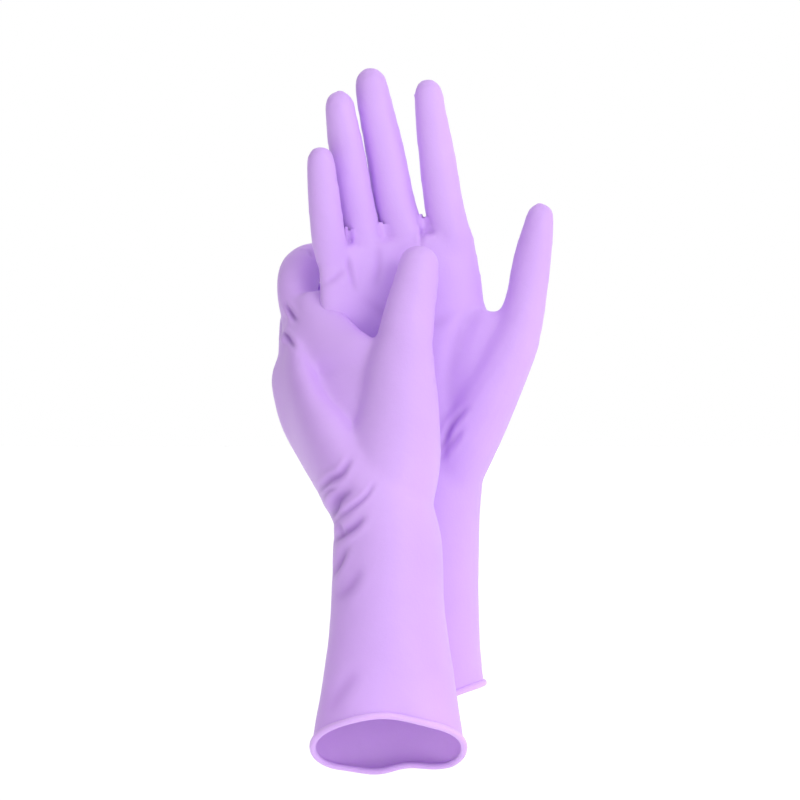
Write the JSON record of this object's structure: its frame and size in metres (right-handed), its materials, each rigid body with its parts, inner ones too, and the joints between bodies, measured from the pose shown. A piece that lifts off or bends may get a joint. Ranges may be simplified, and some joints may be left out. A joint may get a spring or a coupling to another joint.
{
  "type": "pair of long-cuff nitrile gloves",
  "caption": "Pair of long-cuff lilac nitrile gloves in a worn shape: right palm open, left hand gripping the right hand's outer edge; hollow, with beaded cuffs.",
  "frame": {"origin": "middle of the right glove's cuff opening", "axes": "+Z from the cuff to the fingertips, +X from the right glove's little-finger side to its thumb side, +Y from its palm to its back"},
  "size_m": [0.1299, 0.1603, 0.33],
  "materials": {
    "film": "soft satin nitrile film",
    "bead": "soft satin, rolled edge, a little paler"
  },
  "bodies": {
    "right_hand": {"right_cuff_bead": "bead", "right_gauntlet": "film", "right_palm": "film"},
    "left_hand": {"left_cuff_bead": "bead", "left_gauntlet": "film", "left_palm": "film"},
    "right_index_finger_stall": {"right_index_finger": "film"},
    "right_middle_finger_stall": {"right_middle_finger": "film"},
    "right_ring_finger_stall": {"right_ring_finger": "film"},
    "right_little_finger_stall": {"right_little_finger": "film"},
    "right_thumb_stall": {"right_thumb": "film"},
    "left_index_finger_stall": {"left_index_finger": "film"},
    "left_middle_finger_stall": {"left_middle_finger": "film"},
    "left_ring_finger_stall": {"left_ring_finger": "film"},
    "left_little_finger_stall": {"left_little_finger": "film"},
    "left_thumb_stall": {"left_thumb": "film"}
  },
  "joints": [
    {"name": "left_glove_draws_off", "type": "slide", "parent": "right_hand", "child": "left_hand", "axis": [-0.9848, -0.174, 0], "range_m": [0, 0.16]},
    {"name": "right_index_finger_bends", "type": "hinge", "parent": "right_hand", "child": "right_index_finger_stall", "pos_m": [0.01664, 0, 0.21554], "axis": [0.9771, -0.0044, 0.2128], "range_deg": [0, 35]},
    {"name": "right_middle_finger_bends", "type": "hinge", "parent": "right_hand", "child": "right_middle_finger_stall", "pos_m": [-0.00409, -0.00006, 0.21219], "axis": [0.944, 0.0158, 0.3297], "range_deg": [0, 35]},
    {"name": "right_ring_finger_bends", "type": "hinge", "parent": "right_hand", "child": "right_ring_finger_stall", "pos_m": [-0.0232, -0.00462, 0.20911], "axis": [0.9591, 0.0683, 0.2747], "range_deg": [0, 35]},
    {"name": "right_little_finger_bends", "type": "hinge", "parent": "right_hand", "child": "right_little_finger_stall", "pos_m": [-0.0389, -0.01537, 0.20658], "axis": [0.9689, 0.1277, 0.2121], "range_deg": [0, 35]},
    {"name": "right_thumb_bends", "type": "hinge", "parent": "right_hand", "child": "right_thumb_stall", "pos_m": [0.0495, -0.008, 0.171], "axis": [0.7825, -0.5869, -0.208], "range_deg": [0, 35]},
    {"name": "left_index_finger_opens", "type": "hinge", "parent": "left_hand", "child": "left_index_finger_stall", "pos_m": [-0.05412, -0.00765, 0.16449], "axis": [-0.0769, -0.7566, 0.6494], "range_deg": [0, 35]},
    {"name": "left_middle_finger_opens", "type": "hinge", "parent": "left_hand", "child": "left_middle_finger_stall", "pos_m": [-0.0529, 0.00609, 0.14866], "axis": [-0.0821, -0.8253, 0.5586], "range_deg": [0, 35]},
    {"name": "left_ring_finger_opens", "type": "hinge", "parent": "left_hand", "child": "left_ring_finger_stall", "pos_m": [-0.0493, 0.01917, 0.134], "axis": [-0.1178, -0.8281, 0.5481], "range_deg": [0, 35]},
    {"name": "left_little_finger_opens", "type": "hinge", "parent": "left_hand", "child": "left_little_finger_stall", "pos_m": [-0.04221, 0.0314, 0.12091], "axis": [-0.3032, -0.7858, 0.5391], "range_deg": [0, 35]},
    {"name": "left_thumb_lifts", "type": "hinge", "parent": "left_hand", "child": "left_thumb_stall", "pos_m": [-0.0045, -0.037, 0.163], "axis": [0.9345, 0.2951, -0.1991], "range_deg": [0, 25]}
  ],
  "couplings": [
    {"joint": "left_middle_finger_opens", "follows": "left_index_finger_opens", "ratio": 1},
    {"joint": "left_ring_finger_opens", "follows": "left_index_finger_opens", "ratio": 1},
    {"joint": "left_little_finger_opens", "follows": "left_index_finger_opens", "ratio": 1},
    {"joint": "right_little_finger_bends", "follows": "right_ring_finger_bends", "ratio": 1}
  ]
}
